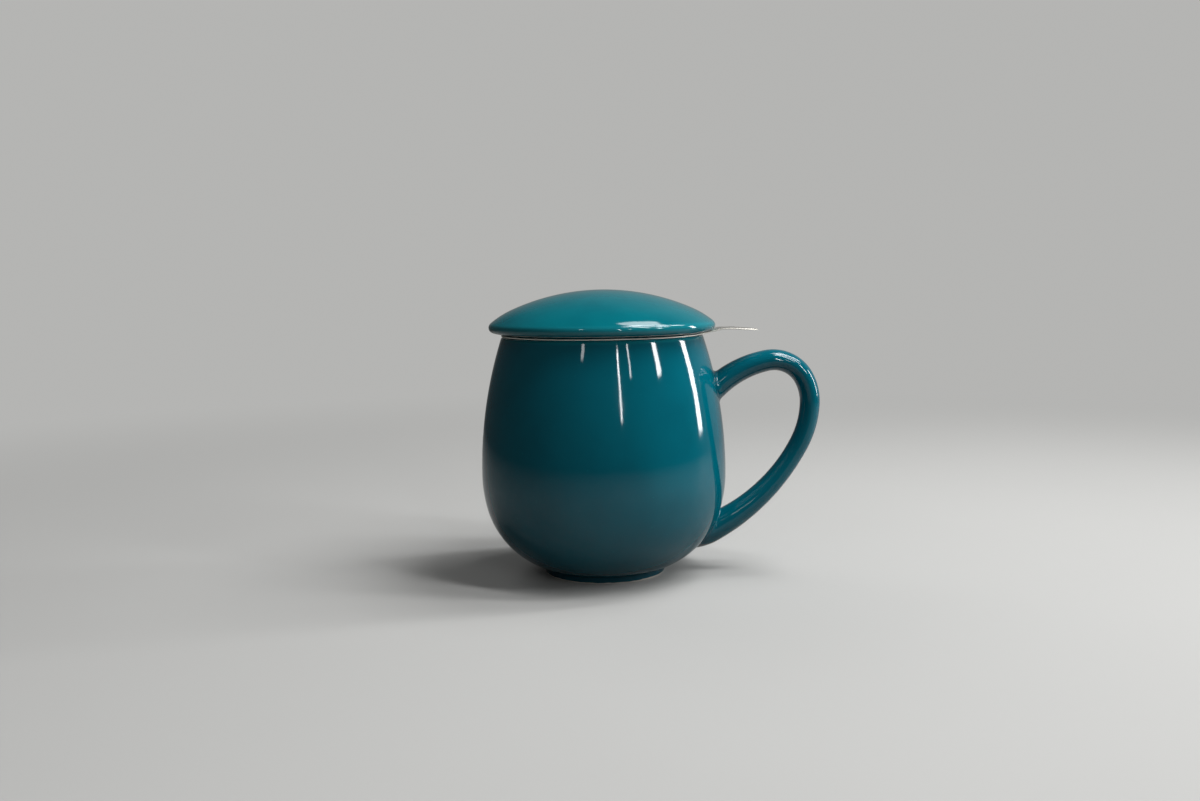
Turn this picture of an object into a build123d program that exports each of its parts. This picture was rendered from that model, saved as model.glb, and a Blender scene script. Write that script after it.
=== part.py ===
from build123d import *

import os
from math import asin, atan2, cos, degrees, radians, sin, sqrt, tan

# Lidded tea mug with a hanging steel infuser: a round-bellied porcelain mug, a domed lid and a perforated
# basket. All sizes are in millimetres. The mug stands on z = 0, its axis is Z and its handle points along +X.

# ---------------------------------------------------------------- driving dimensions
# Mug bowl, cast porcelain: a narrow foot ring, a round belly and sides that draw in to the rim.
foot_radius = 22.9  # outside of the foot ring where it stands
foot_ring_width = 3.4  # standing face of the ring, and the ring's wall
foot_draft = 0.45  # the ring widens by this much up to the crease
foot_height = 2.6  # from the table to the crease under the bowl
foot_recess = 2.2  # depth of the hollow inside the ring
foot_bevel = 0.5  # on both edges of the standing face
belly_radius = 46.4
belly_height = 38.3
side_arc_radius = 50.5  # the arc just under the belly
side_arc_turn = 15.0  # degrees that this arc turns through
rim_radius = 37.9
rim_height = 90.5
wall = 3.6
bottom_thickness = 4.6  # porcelain between the foot recess and the inside
inside_corner_round = 9.0
lip_round = 1.1

# Handle, cast on its own and joined on with slip: a bow that leaves the upper side and sweeps round to
# the haunch.
upper_root_height = 70.3
upper_root_slope = 42.5  # degrees above level at which the bow leaves the bowl
shoulder_reach = 15.9  # end of the upper run, out from the belly
shoulder_height = 79.9
knuckle_reach = 30.0  # end of the tightest bend, out from the belly
knuckle_height = 73.3
handle_reach = 32.4  # furthest point of the bow's centre line, out from the belly
reach_height = 63.3
lower_bend_reach = 28.3
lower_bend_height = 48.0
lower_root_height = 15.1
upper_root_depth = 9.1  # depths are measured in the plane of the bow, widths across it
slim_depth = 7.3
lower_root_depth = 10.9
slim_width = 10.6
root_width = 13.0
slim_station = 70.0  # distance along the bow to its slimmest section
upper_taper_power = 2.4
lower_taper_power = 1.6
upper_flare = 1.8  # extra all round where the upper slip joint spreads on the bowl
upper_flare_length = 3.0
heel_length = 11.0  # end of the bow's line that the heel's sections take the place of
# The heel: upright sections in which the lower root runs into the bowl. Each has its reach out from the
# belly, the height of its centre, its depth and its width.
heel_sections = (
    (-1.4, 17.1, 11.8, 13.4),
    (-5.2, 15.1, 11.9, 14.2),
    (-9.0, 14.0, 11.2, 15.2),
    (-13.0, 13.3, 10.6, 16.4),
)
root_sink = 1.3  # how far the upper root is modelled into the bowl before it is cut to fit
bow_sections = 13

# Infuser, stainless sheet: a pressed rim with a finger tab, a rolled perforated wall and a pressed floor.
rim_sheet = 0.5
flange_overhang = 0.1  # the flange passes the mug's rim by this much
collar_clearance = 0.7  # between the collar and the inside of the mug's rim
collar_depth = 8.0
bend_radius = 0.7  # inside of the bend between flange and collar
tab_width = 14.0
tab_reach = 20.9  # from the edge of the flange to the tab's end
tab_rise = 1.7
tab_slope_length = 7.6  # the inclined stretch of the tab, measured level
tab_level_length = 5.0
tab_droop = 4.2  # degrees that the tab's end points down
tab_bend_radius = 3.0  # at each of its three bends
tab_root_fillet = 5.0
wall_sheet = 0.4
wall_lap = 5.0  # how far the wall reaches up inside the collar
basket_bottom_height = 29.0  # the wall's lower edge
seam_lap = 4.0  # width of the wall's lapped seam
floor_sheet = 0.5
floor_hem = 4.0  # depth of the floor's turned-down edge
floor_bevel = 1.0  # where the floor turns down into its hem

# Perforation: square holes in staggered rows round the wall, and in rings on the floor.
hole_width = 2.0
wall_hole_rows = 8
wall_holes_per_row = 22
plain_band = 6.0  # unperforated height at each end of the wall
floor_hole_pitch = 5.4
floor_hole_rings = 4

# Lid, cast porcelain: a shallow dome with a rounded edge, resting on the flange and located by a ring.
lid_overhang = 4.85  # past the mug's rim
lid_rise = 16.6  # from the flange to the crown
crown_arc_radius = 84.0
lid_shoulder_width = 8.7  # the dome falls away faster over this width
lid_edge_height = 4.4  # top of the rounded edge, above the flange
lid_tip_height = 2.9  # widest point of the edge, above the flange
lid_edge_underside = 1.6  # underside of the edge, above the flange
lid_edge_inset = 0.75  # from the tip in to the ends of the edge round
seat_inset = 1.0  # the seat ends this far inside the mug's rim radius
lid_wall = 4.2
locating_clearance = 0.8  # between the locating ring and the collar
locating_ring_depth = 5.5
locating_ring_wall = 3.0
lid_inside_round = 3.0
ring_bevel = 0.9

# ---------------------------------------------------------------- sizes that follow
crease = (foot_radius + foot_draft, foot_height)
flange_top = rim_height + rim_sheet

# Upper arc: upright at the belly and through the rim.
upper_rise = rim_height - belly_height
upper_taper = belly_radius - rim_radius
upper_arc_radius = (upper_rise**2 + upper_taper**2) / (2 * upper_taper)
upper_centre = (belly_radius - upper_arc_radius, belly_height)

# Side arc: upright at the belly, ending at the haunch.
side_centre = (belly_radius - side_arc_radius, belly_height)
haunch = (
    side_centre[0] + side_arc_radius * cos(radians(side_arc_turn)),
    side_centre[1] - side_arc_radius * sin(radians(side_arc_turn)),
)

# Lower arc: carries on from the haunch without a kink and ends at the crease over the foot.
haunch_inward = (-cos(radians(side_arc_turn)), sin(radians(side_arc_turn)))
fall = (crease[0] - haunch[0], crease[1] - haunch[1])
fall_inward = fall[0] * haunch_inward[0] + fall[1] * haunch_inward[1]
lower_arc_radius = (fall[0] ** 2 + fall[1] ** 2) / (2 * fall_inward)
lower_centre = (
    haunch[0] + lower_arc_radius * haunch_inward[0],
    haunch[1] + lower_arc_radius * haunch_inward[1],
)


def bowl_point(height, inset=0.0):
    """Radius and outward direction (in degrees above level) of the bowl's side at a height."""
    if height > belly_height:
        centre, radius = upper_centre, upper_arc_radius
    elif height > haunch[1]:
        centre, radius = side_centre, side_arc_radius
    else:
        centre, radius = lower_centre, lower_arc_radius
    climb = asin((height - centre[1]) / (radius - inset))
    return centre[0] + (radius - inset) * cos(climb), degrees(climb)


def bowl_side(inset, lower_start):
    """Draws the bowl's side, set in from its outer surface, from a direction of the lower arc to the rim."""
    upper_end = degrees(asin(upper_rise / (upper_arc_radius - inset)))
    CenterArc(lower_centre, lower_arc_radius - inset, lower_start, -side_arc_turn - lower_start)
    CenterArc(side_centre, side_arc_radius - inset, -side_arc_turn, side_arc_turn)
    CenterArc(upper_centre, upper_arc_radius - inset, 0, upper_end)


# Directions from the lower arc's centre, in degrees above level, at which the outside and the inside start.
outside_start = degrees(atan2(crease[1] - lower_centre[1], crease[0] - lower_centre[0]))
inside_bottom = foot_recess + bottom_thickness
inside_start = degrees(asin((inside_bottom - lower_centre[1]) / (lower_arc_radius - wall)))
inside_rim_radius = bowl_point(rim_height, wall)[0]
inside_bottom_radius = bowl_point(inside_bottom, wall)[0]

collar_radius = inside_rim_radius - collar_clearance  # outside of the collar
wall_radius = collar_radius - rim_sheet  # outside of the perforated wall, which fits the collar
wall_inside = wall_radius - wall_sheet
flange_radius = rim_radius + flange_overhang

# ---------------------------------------------------------------- mug bowl
with BuildPart() as mug_body:
    with BuildSketch(Plane.XZ) as bowl_section:
        with BuildLine():
            bowl_side(0, outside_start)
            bowl_side(wall, inside_start)
            Line((rim_radius, rim_height), (inside_rim_radius, rim_height))
            Line((inside_bottom_radius, inside_bottom), (0, inside_bottom))
            Polyline(
                (0, inside_bottom),
                (0, foot_recess),
                (foot_radius - foot_ring_width - foot_draft, foot_recess),
                (foot_radius - foot_ring_width, 0),
                (foot_radius, 0),
                crease,
            )
        make_face()
        lip = bowl_section.vertices().filter_by(lambda v: abs(v.Y - rim_height) < 1e-6)
        fillet(lip, lip_round)
        standing_edges = bowl_section.vertices().filter_by(lambda v: abs(v.Y) < 1e-6)
        chamfer(standing_edges, foot_bevel)
        inside_corner = bowl_section.vertices().filter_by(
            lambda v: abs(v.Y - inside_bottom) < 1e-6 and v.X > 1
        )
        fillet(inside_corner, inside_corner_round)
    revolve(axis=Axis.Z)
mug_body.part.label = "mug_body"

# The solid inside the bowl's outer surface, which trims the handle's ends.
with BuildPart() as bowl_envelope:
    with BuildSketch(Plane.XZ):
        with BuildLine():
            bowl_side(0, outside_start)
            Polyline((rim_radius, rim_height), (0, rim_height), (0, foot_height), crease)
        make_face()
    revolve(axis=Axis.Z)

# ---------------------------------------------------------------- handle
upper_root_radius, upper_root_lean = bowl_point(upper_root_height)
lower_root_radius = bowl_point(lower_root_height)[0]

# The bow's centre line, drawn flat: its X is the distance out from the mug's axis and its Y is the height.
with BuildLine() as bow:
    upper_run = TangentArc(
        (upper_root_radius, upper_root_height),
        (belly_radius + shoulder_reach, shoulder_height),
        tangent=(cos(radians(upper_root_slope)), sin(radians(upper_root_slope))),
    )
    knuckle = TangentArc(upper_run @ 1, (belly_radius + knuckle_reach, knuckle_height), tangent=upper_run % 1)
    side_bend = TangentArc(knuckle @ 1, (belly_radius + handle_reach, reach_height), tangent=knuckle % 1)
    outer_run = TangentArc(
        side_bend @ 1, (belly_radius + lower_bend_reach, lower_bend_height), tangent=side_bend % 1
    )
    lower_run = TangentArc(outer_run @ 1, (lower_root_radius, lower_root_height), tangent=outer_run % 1)
bow_line = bow.wires()[0]
bow_length = bow_line.length


def taper(distance, upper_root, slimmest, lower_root):
    """A size of the bow at a distance along it: full at both roots and least at the slim station."""
    if distance < slim_station:
        left = 1 - distance / slim_station
        return slimmest + (upper_root - slimmest) * left**upper_taper_power
    past = (distance - slim_station) / (bow_length - slim_station)
    return slimmest + (lower_root - slimmest) * past**lower_taper_power


def bow_section(centre, heading, depth, width):
    """One oval section of the bow, square to a heading in degrees above level."""
    section_plane = Plane(
        origin=(centre[0], 0, centre[1]),
        x_dir=(0, 1, 0),
        z_dir=(cos(radians(heading)), 0, sin(radians(heading))),
    )
    with BuildSketch(section_plane) as oval:
        Ellipse(width / 2, depth / 2)
    return oval.sketch


# The bow starts in an oval that lies along the bowl's side and is sunk a little into it.
foot_centre = (
    upper_root_radius - root_sink * cos(radians(upper_root_lean)),
    upper_root_height - root_sink * sin(radians(upper_root_lean)),
)
skew = radians(upper_root_slope - upper_root_lean)
foot_depth = upper_root_depth / cos(skew) + 2 * upper_flare
foot_width = root_width + 2 * upper_flare
free_length = bow_length - upper_flare_length - heel_length

ovals = [bow_section(foot_centre, upper_root_lean, foot_depth, foot_width)]
for step in range(bow_sections + 1):
    distance = upper_flare_length + free_length * step / bow_sections
    place = bow_line @ (distance / bow_length)
    direction = bow_line % (distance / bow_length)
    depth = taper(distance, upper_root_depth, slim_depth, lower_root_depth)
    width = taper(distance, root_width, slim_width, root_width)
    ovals.append(bow_section((place.X, place.Y), degrees(atan2(direction.Y, direction.X)), depth, width))
for reach, height, depth, width in heel_sections:
    ovals.append(bow_section((belly_radius + reach, height), 180, depth, width))

with BuildPart() as mug_handle:
    loft(ovals)
    add(bowl_envelope.part, mode=Mode.SUBTRACT)
mug_handle.part.label = "mug_handle"

# ---------------------------------------------------------------- infuser rim
tab_end = flange_radius + tab_reach
tab_bend = sqrt(flange_radius**2 - (tab_width / 2) ** 2)  # the tab folds up along this chord of the flange
tab_seat = 3.0  # flange stretch that the tab's blank shares
droop_fall = tan(radians(tab_droop))

with BuildPart() as tab:
    # Plan of the flange and tab together, with filleted roots and a round end.
    with BuildSketch(Plane.XY.offset(rim_height - tab_rise)) as tab_plan:
        Circle(flange_radius)
        with Locations((tab_end - tab_width / 2, 0)):
            Rectangle(tab_end - tab_width / 2, tab_width, align=(Align.MAX, Align.CENTER))
            Circle(tab_width / 2)
        tab_roots = tab_plan.vertices().filter_by(lambda v: abs(v.X - tab_bend) < 0.01)
        fillet(tab_roots, tab_root_fillet)
    extrude(amount=3 * tab_rise + rim_sheet)
    # Side view of the sheet: level on the flange, up the slope, level again and drooping to its end.
    with BuildSketch(Plane.XZ):
        slope_end = tab_bend + tab_slope_length
        level_end = slope_end + tab_level_length
        with BuildLine() as sheet_line:
            FilletPolyline(
                (tab_bend - tab_seat, rim_height),
                (tab_bend, rim_height),
                (slope_end, rim_height + tab_rise),
                (level_end, rim_height + tab_rise),
                (tab_end + 1, rim_height + tab_rise - droop_fall * (tab_end + 1 - level_end)),
                radius=tab_bend_radius,
            )
            offset(amount=rim_sheet, side=Side.LEFT)
        make_face()
    extrude(amount=flange_radius, both=True, mode=Mode.INTERSECT)

with BuildPart() as infuser_rim:
    with BuildSketch(Plane.XZ) as rim_section:
        with BuildLine():
            Polyline(
                (flange_radius, rim_height),
                (flange_radius, flange_top),
                (wall_radius, flange_top),
                (wall_radius, rim_height - collar_depth),
                (collar_radius, rim_height - collar_depth),
                (collar_radius, rim_height),
                close=True,
            )
        make_face()
        throat = rim_section.vertices().sort_by(Axis.X)[:2].sort_by(Axis.Y)[-1]
        fillet(throat, bend_radius + rim_sheet)
        nook = rim_section.vertices().filter_by(
            lambda v: abs(v.X - collar_radius) < 1e-6 and abs(v.Y - rim_height) < 1e-6
        )
        fillet(nook, bend_radius)
    revolve(axis=Axis.Z)
    # The revolved flange gives way to the tab's own bend beyond the chord.
    with BuildSketch(Plane.XY.offset(rim_height - rim_sheet)):
        with Locations((tab_bend, 0)):
            Rectangle(tab_width, tab_width, align=(Align.MIN, Align.CENTER))
    extrude(amount=3 * rim_sheet, mode=Mode.SUBTRACT)
    add(tab.part)
infuser_rim.part.label = "infuser_rim"

# ---------------------------------------------------------------- infuser wall
wall_top_height = rim_height - collar_depth + wall_lap
seam_angle = 180.0  # the lapped seam is at the back, away from the tab
lap_angle = degrees(seam_lap / wall_radius)
lap_top_height = rim_height - collar_depth - wall_sheet
first_row_height = basket_bottom_height + plain_band
last_row_height = rim_height - collar_depth - plain_band
row_pitch = (last_row_height - first_row_height) / (wall_hole_rows - 1)
column_pitch = 360 / wall_holes_per_row
hole_angle = degrees(hole_width / wall_radius)
cut_margin = 1.0  # how far the cuts run past the sheet's faces

# One column of hole cutters for the even rows and one, half a pitch round, for the odd rows. Each starts
# clear of the seam, so the lapped strip stays plain.
hole_columns = []
for first_row in (0, 1):
    start_angle = seam_angle + (1 + first_row / 2) * column_pitch - hole_angle / 2
    with BuildPart() as hole_column:
        with BuildSketch(Plane.XZ.rotated((0, 0, start_angle))):
            for row in range(first_row, wall_hole_rows, 2):
                with Locations((wall_inside - cut_margin, first_row_height + row * row_pitch)):
                    cut_depth = wall_sheet + 2 * cut_margin
                    Rectangle(cut_depth, hole_width, align=(Align.MIN, Align.CENTER))
        revolve(axis=Axis.Z, revolution_arc=hole_angle)
    hole_columns.append(hole_column.part)

with BuildPart() as infuser_wall:
    with BuildSketch(Plane.XY.offset(basket_bottom_height)):
        Circle(wall_radius)
        Circle(wall_inside, mode=Mode.SUBTRACT)
    extrude(amount=wall_top_height - basket_bottom_height)
    with BuildSketch(Plane.XZ.rotated((0, 0, seam_angle - lap_angle / 2))):
        with Locations((wall_radius, basket_bottom_height)):
            Rectangle(wall_sheet, lap_top_height - basket_bottom_height, align=(Align.MIN, Align.MIN))
    revolve(axis=Axis.Z, revolution_arc=lap_angle)
    plain_columns = 1  # left out at the seam
    for hole_column in hole_columns:
        with PolarLocations(0, wall_holes_per_row - plain_columns, angular_range=360 - column_pitch):
            add(hole_column, mode=Mode.SUBTRACT)
infuser_wall.part.label = "infuser_wall"

# ---------------------------------------------------------------- infuser floor
floor_height = basket_bottom_height + floor_hem
with BuildPart() as infuser_floor:
    with BuildSketch(Plane.XZ) as floor_section:
        with BuildLine():
            Polyline(
                (0, floor_height),
                (wall_inside, floor_height),
                (wall_inside, basket_bottom_height),
                (wall_inside - floor_sheet, basket_bottom_height),
                (wall_inside - floor_sheet, floor_height - floor_sheet),
                (0, floor_height - floor_sheet),
                close=True,
            )
        make_face()
        outer_bend = floor_section.vertices().group_by(Axis.Y)[-1].sort_by(Axis.X)[-1]
        chamfer(outer_bend, floor_bevel + floor_sheet / 2)
        inner_bend = floor_section.vertices().group_by(Axis.Y)[-2].sort_by(Axis.X)[-1]
        chamfer(inner_bend, floor_bevel)
    revolve(axis=Axis.Z)
    with BuildSketch(Plane.XY.offset(floor_height + cut_margin)):
        Rectangle(hole_width, hole_width)
        for ring in range(1, floor_hole_rings + 1):
            with PolarLocations(ring * floor_hole_pitch, 6 * ring):
                Rectangle(hole_width, hole_width)
    extrude(amount=-(floor_sheet + 2 * cut_margin), mode=Mode.SUBTRACT)
infuser_floor.part.label = "infuser_floor"

# ---------------------------------------------------------------- lid
lid_radius = rim_radius + lid_overhang
crown_height = flange_top + lid_rise
shoulder_angle = asin((lid_radius - lid_shoulder_width) / crown_arc_radius)
ring_outside = wall_radius - locating_clearance
ring_inside = ring_outside - locating_ring_wall
inner_arc_radius = crown_arc_radius - lid_wall
inner_arc_centre = crown_height - crown_arc_radius
inner_angle = asin(ring_inside / inner_arc_radius)
tip_end = lid_radius - lid_edge_inset

with BuildPart() as lid:
    with BuildSketch(Plane.XZ) as lid_section:
        with BuildLine():
            crown = JernArc((0, crown_height), (1, 0), crown_arc_radius, -degrees(shoulder_angle))
            TangentArc(crown @ 1, (tip_end, flange_top + lid_edge_height), tangent=crown % 1)
            ThreePointArc(
                (tip_end, flange_top + lid_edge_height),
                (lid_radius, flange_top + lid_tip_height),
                (tip_end, flange_top + lid_edge_underside),
            )
            Polyline(
                (tip_end, flange_top + lid_edge_underside),
                (rim_radius - seat_inset, flange_top),
                (ring_outside, flange_top),
                (ring_outside, flange_top - locating_ring_depth),
                (ring_inside, flange_top - locating_ring_depth),
                (ring_inside, inner_arc_centre + inner_arc_radius * cos(inner_angle)),
            )
            inner_crown = JernArc(
                (0, crown_height - lid_wall), (1, 0), inner_arc_radius, -degrees(inner_angle)
            )
            Line((0, crown_height - lid_wall), (0, crown_height))
        make_face()
        inside_corner = lid_section.vertices().filter_by(
            lambda v: abs(v.X - ring_inside) < 1e-6 and v.Y > flange_top
        )
        fillet(inside_corner, lid_inside_round)
        chamfer(lid_section.vertices().group_by(Axis.Y)[0], ring_bevel)
    revolve(axis=Axis.Z)
lid.part.label = "lid"

# ---------------------------------------------------------------- files
os.makedirs("parts", exist_ok=True)
export_step(mug_body.part, "parts/mug_body.step")
export_step(mug_handle.part, "parts/mug_handle.step")
export_step(infuser_rim.part, "parts/infuser_rim.step")
export_step(infuser_wall.part, "parts/infuser_wall.step")
export_step(infuser_floor.part, "parts/infuser_floor.step")
export_step(lid.part, "parts/lid.step")
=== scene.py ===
from functools import partial, reduce
from math import asin, atan2, ceil, cos, hypot, pi, radians, sin, sqrt, tan

import bmesh
import bpy
import numpy as np
from bpy.props import FloatProperty, FloatVectorProperty, IntProperty, PointerProperty
from mathutils import Matrix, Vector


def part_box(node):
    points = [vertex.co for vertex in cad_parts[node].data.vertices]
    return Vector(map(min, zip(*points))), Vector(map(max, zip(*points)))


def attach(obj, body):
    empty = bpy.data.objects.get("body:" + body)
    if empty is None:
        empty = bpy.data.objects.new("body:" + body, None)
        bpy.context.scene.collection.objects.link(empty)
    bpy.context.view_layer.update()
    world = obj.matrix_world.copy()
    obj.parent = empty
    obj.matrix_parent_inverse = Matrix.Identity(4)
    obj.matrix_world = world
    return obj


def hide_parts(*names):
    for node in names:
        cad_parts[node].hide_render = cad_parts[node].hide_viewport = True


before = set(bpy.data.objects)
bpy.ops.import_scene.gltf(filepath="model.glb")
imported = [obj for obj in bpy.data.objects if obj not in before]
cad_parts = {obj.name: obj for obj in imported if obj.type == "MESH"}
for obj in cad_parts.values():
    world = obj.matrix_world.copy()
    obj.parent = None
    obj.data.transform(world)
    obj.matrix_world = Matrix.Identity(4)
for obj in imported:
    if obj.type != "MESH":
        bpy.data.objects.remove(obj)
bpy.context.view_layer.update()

bl_info = {
    "name": "Lidded Tea Mug with Infuser",
    "version": (1, 0, 0),
    "blender": (4, 5, 0),
    "location": "View3D > Sidebar > Tea Mug",
    "description": "Glazed porcelain mug with a bow handle, a domed lid and a perforated steel infuser",
    "category": "Add Mesh",
}

MM = 0.001  # metres in a millimetre
GRAIN = 0.55 * MM  # spacing of points along a turned section
WELD = 1e-4 * MM  # points closer than this are one point
TURNS = 216  # faces round a turned piece
EDGE_STEPS = 8  # faces round a sheet's cut edge
BOW_COLUMNS, BOW_ROWS, ROOT_ROWS = 96, 180, 20  # faces round the handle, points along it, faces up each joint
TAB_COLUMNS, SEAM_ROWS = 40, 60  # faces across the finger tab, points up the seam
CREASE_ANGLE = radians(35)  # an edge sharper than this is shaded as an edge
GLAZE_IOR = 1.47  # how strongly glaze bends light
IMAGE_WIDTH = 1200  # pixels, which the focal length is given for


# ---------------------------------------------------------------- sizes and colours


def length(description, millimetres):
    """A length that a user can change, given in millimetres and held in metres."""
    default = millimetres * MM
    return partial(FloatProperty, description=description, default=default, unit="LENGTH", precision=5)


def lengths(description, *millimetres):
    """Three lengths that belong together."""
    default = [value * MM for value in millimetres]
    return partial(FloatVectorProperty, description=description, default=default, unit="LENGTH", precision=5)


def turn(description, in_degrees):
    """An angle that a user can change, given in degrees and held in radians."""
    return partial(FloatProperty, description=description, default=radians(in_degrees), subtype="ANGLE")


def share(description, default):
    """A number from 0 to 1."""
    return partial(FloatProperty, description=description, default=default, min=0, max=1, subtype="FACTOR")


def number(description, default):
    """A plain number, and a whole one if its default is whole."""
    kind = IntProperty if isinstance(default, int) else FloatProperty
    return partial(kind, description=description, default=default)


def colour(description, *rgb):
    """A linear colour that a user can change."""
    return partial(FloatVectorProperty, description=description, default=rgb, subtype="COLOR", min=0, max=1)


def labelled(group):
    """Makes the properties of a group, each with its own name as its label."""
    for name, make in group.__annotations__.items():
        group.__annotations__[name] = make(name=name.replace("_", " ").capitalize())
    return group


def framed(node, corner, axis):
    """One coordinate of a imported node's box, in millimetres."""
    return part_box(node)[corner][axis] / MM


@labelled
class BowlSizes(bpy.types.PropertyGroup):
    """Section of the mug's bowl."""

    belly_radius: length("Widest radius of the bowl", framed("mug_body", 1, 1))
    rim_height: length("Top of the lip above the table", framed("mug_body", 1, 2))
    belly_height: length("Height of the widest point", 38.3)
    rim_radius: length("Outside radius at the lip", 37.9)
    side_arc_radius: length("Radius of the arc just under the belly", 50.5)
    side_arc_turn: turn("Angle that the side arc turns through", 15.0)
    wall: length("Thickness of the porcelain", 3.6)
    lip_round: length("Rounding of the lip's two edges", 1.3)
    foot_radius: length("Outside of the foot ring where it stands", 22.9)
    foot_ring_width: length("Standing face of the foot ring", 3.4)
    foot_draft: length("How much the foot ring widens upwards", 0.45)
    foot_height: length("From the table to the crease under the bowl", 2.6)
    foot_recess: length("Depth of the hollow inside the foot ring", 2.2)
    bottom_thickness: length("Porcelain between foot recess and inside", 4.6)
    inside_corner_round: length("Rounding of the bowl's inside bottom", 9.0)
    glaze_line: length("Height at which the glaze stops above the table", 0.55)


@labelled
class HandleSizes(bpy.types.PropertyGroup):
    """Line and sections of the bow handle."""

    upper_root_height: length("Where the bow's line leaves the bowl", 70.3)
    upper_root_slope: turn("Angle above level at which it leaves", 42.5)
    shoulder_reach: length("End of the upper run, out from the belly", 15.9)
    shoulder_height: length("End of the upper run above the table", 79.9)
    knuckle_reach: length("End of the tightest bend, out from the belly", 30.0)
    knuckle_height: length("End of the tightest bend above the table", 73.3)
    handle_reach: length("Furthest point of the line, out from the belly", 32.37)
    reach_height: length("Height of the furthest point", 63.3)
    lower_bend_reach: length("Start of the lower run, out from the belly", 28.3)
    lower_bend_height: length("Start of the lower run above the table", 48.0)
    lower_root_height: length("Where the bow's line meets the bowl again", 15.1)
    upper_root_depth: length("Depth in the bow's plane at the upper root", 9.1)
    slim_depth: length("Least depth in the bow's plane", 7.3)
    lower_root_depth: length("Depth in the bow's plane at the lower root", 10.9)
    slim_width: length("Least width across the bow", 10.6)
    root_width: length("Width across the bow at both roots", 13.0)
    slim_station: length("Distance along the bow to its slimmest section", 70.0)
    upper_taper_power: number("Power of the taper from the upper root", 2.4)
    lower_taper_power: number("Power of the taper to the lower root", 1.6)
    upper_foot: lengths("Upper joint on the bowl: above, beside and below", 7.2, 8.2, 6.6)
    upper_run: lengths("Upper joint on the bow: above, beside and below", 4.4, 1.8, -1.4)
    lower_foot: lengths("Lower joint on the bowl: below, beside and above", 10.2, 8.2, 10.5)
    lower_run: lengths("Lower joint on the bow: below, beside and above", 0.5, 3.5, 9.2)
    heel_angle: turn("Angle at which the lower root's underside meets the bowl", 38.0)


@labelled
class LidSizes(bpy.types.PropertyGroup):
    """Section of the domed lid."""

    lid_radius: length("Outside radius of the lid", framed("lid", 1, 0))
    crown_height: length("Top of the dome above the table", framed("lid", 1, 2))
    ring_end_height: length("Lower end of the locating ring", framed("lid", 0, 2))
    crown_arc_radius: length("Radius of the dome", 84.0)
    shoulder_width: length("Band in which the dome falls away faster", 8.7)
    edge_round: length("Radius of the rounded edge", 2.0)
    tip_height: length("Widest point of the edge above the seat", 2.91)
    seat_radius: length("Outer edge of the seat", 36.9)
    ring_radius: length("Outside radius of the locating ring", 32.1)
    ring_wall: length("Thickness of the locating ring", 3.0)
    wall: length("Thickness of the dome", 4.2)
    inside_round: length("Rounding where ring and dome meet inside", 3.0)
    glaze_gap: length("Bare stretch at the end of the locating ring", 0.9)


@labelled
class InfuserSizes(bpy.types.PropertyGroup):
    """Rim, tab, wall and floor of the steel infuser."""

    flange_top: length("Top of the flange above the table", 91.0)
    flange_radius: length("Outside radius of the flange", 38.0)
    rim_sheet: length("Thickness of the rim's and the tab's sheet", 0.5)
    collar_radius: length("Outside radius of the collar", 33.4)
    collar_end_height: length("Lower end of the collar", framed("infuser_rim", 0, 2))
    bend_radius: length("Inside of the bend between flange and collar", 0.7)
    tab_end: length("Furthest point of the finger tab", framed("infuser_rim", 1, 0))
    tab_width: length("Width of the finger tab", 14.0)
    tab_root_round: length("Fillet between flange and tab", 5.0)
    tab_rise: length("How far the tab stands above the flange", 1.7)
    tab_slope_length: length("Inclined stretch of the tab, measured level", 7.6)
    tab_level_length: length("Level stretch of the tab", 5.0)
    tab_droop: turn("Angle at which the tab's end points down", 4.2)
    tab_bend: length("Half the length of sheet that a bend takes", 0.6)
    wall_radius: length("Outside radius of the perforated wall", 32.9)
    wall_sheet: length("Thickness of the wall's sheet", 0.4)
    wall_top_height: length("Upper edge of the wall", framed("infuser_wall", 1, 2))
    basket_bottom_height: length("Lower edge of the basket", framed("infuser_wall", 0, 2))
    seam_width: length("Width of the wall's lapped seam", 4.0)
    seam_end_height: length("Upper end of the lapped strip", 82.1)
    floor_sheet: length("Thickness of the floor's sheet", 0.5)
    floor_hem: length("Depth of the floor's turned-down edge", 4.0)
    floor_bend_radius: length("Centre line of the bend between floor and hem", 1.5)
    hole_radius: length("Radius of the perforation's holes", 0.45)
    wall_columns: number("Holes round the wall", 112)
    wall_rows: number("Rows of holes up the wall", 26)
    wall_rows_bottom: length("Lower edge of the perforated band", 35.5)
    floor_rings: number("Rings of holes on the floor", 14)


@labelled
class Finishes(bpy.types.PropertyGroup):
    """Colours of the glaze, the bare porcelain and the steel."""

    glaze: colour("Deep teal glaze where it lies evenly", 0.0, 0.124, 0.172)
    # Lighter than the bowl's glaze as painted light, for the lid that faces the lights above; it is also a
    # little greener
    lid_glaze: colour("Glaze on the lid, a little greener", 0.0, 0.155, 0.192)
    # Also painted shade, darkening the glaze just above where it stops on the foot ring
    pooled: colour("Glaze where it has run together", 0.0, 0.064, 0.096)
    broken: colour("Glaze where it has drawn thin over an edge", 0.006, 0.195, 0.240)
    porcelain: colour("Unglazed porcelain", 0.74, 0.71, 0.66)
    grit: colour("Darker grains of the bare porcelain", 0.50, 0.45, 0.38)
    steel: colour("Stainless sheet", 0.79, 0.765, 0.72)
    steel_shade: colour("Stainless sheet in the hollows of its fine lines", 0.58, 0.55, 0.51)
    glaze_roughness: share("Roughness of the glaze", 0.055)
    porcelain_roughness: share("Roughness of bare porcelain", 0.8)
    steel_roughness: share("Roughness of the steel", 0.36)
    # Paler and creamier than the sheet: a painted sheen on the cut edges, which are also rougher
    cut_steel_with_painted_sheen: colour("The flange's and the tab's cut edges", 0.93, 0.90, 0.83)
    cut_roughness: share("Roughness of the cut edges", 0.60)


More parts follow.
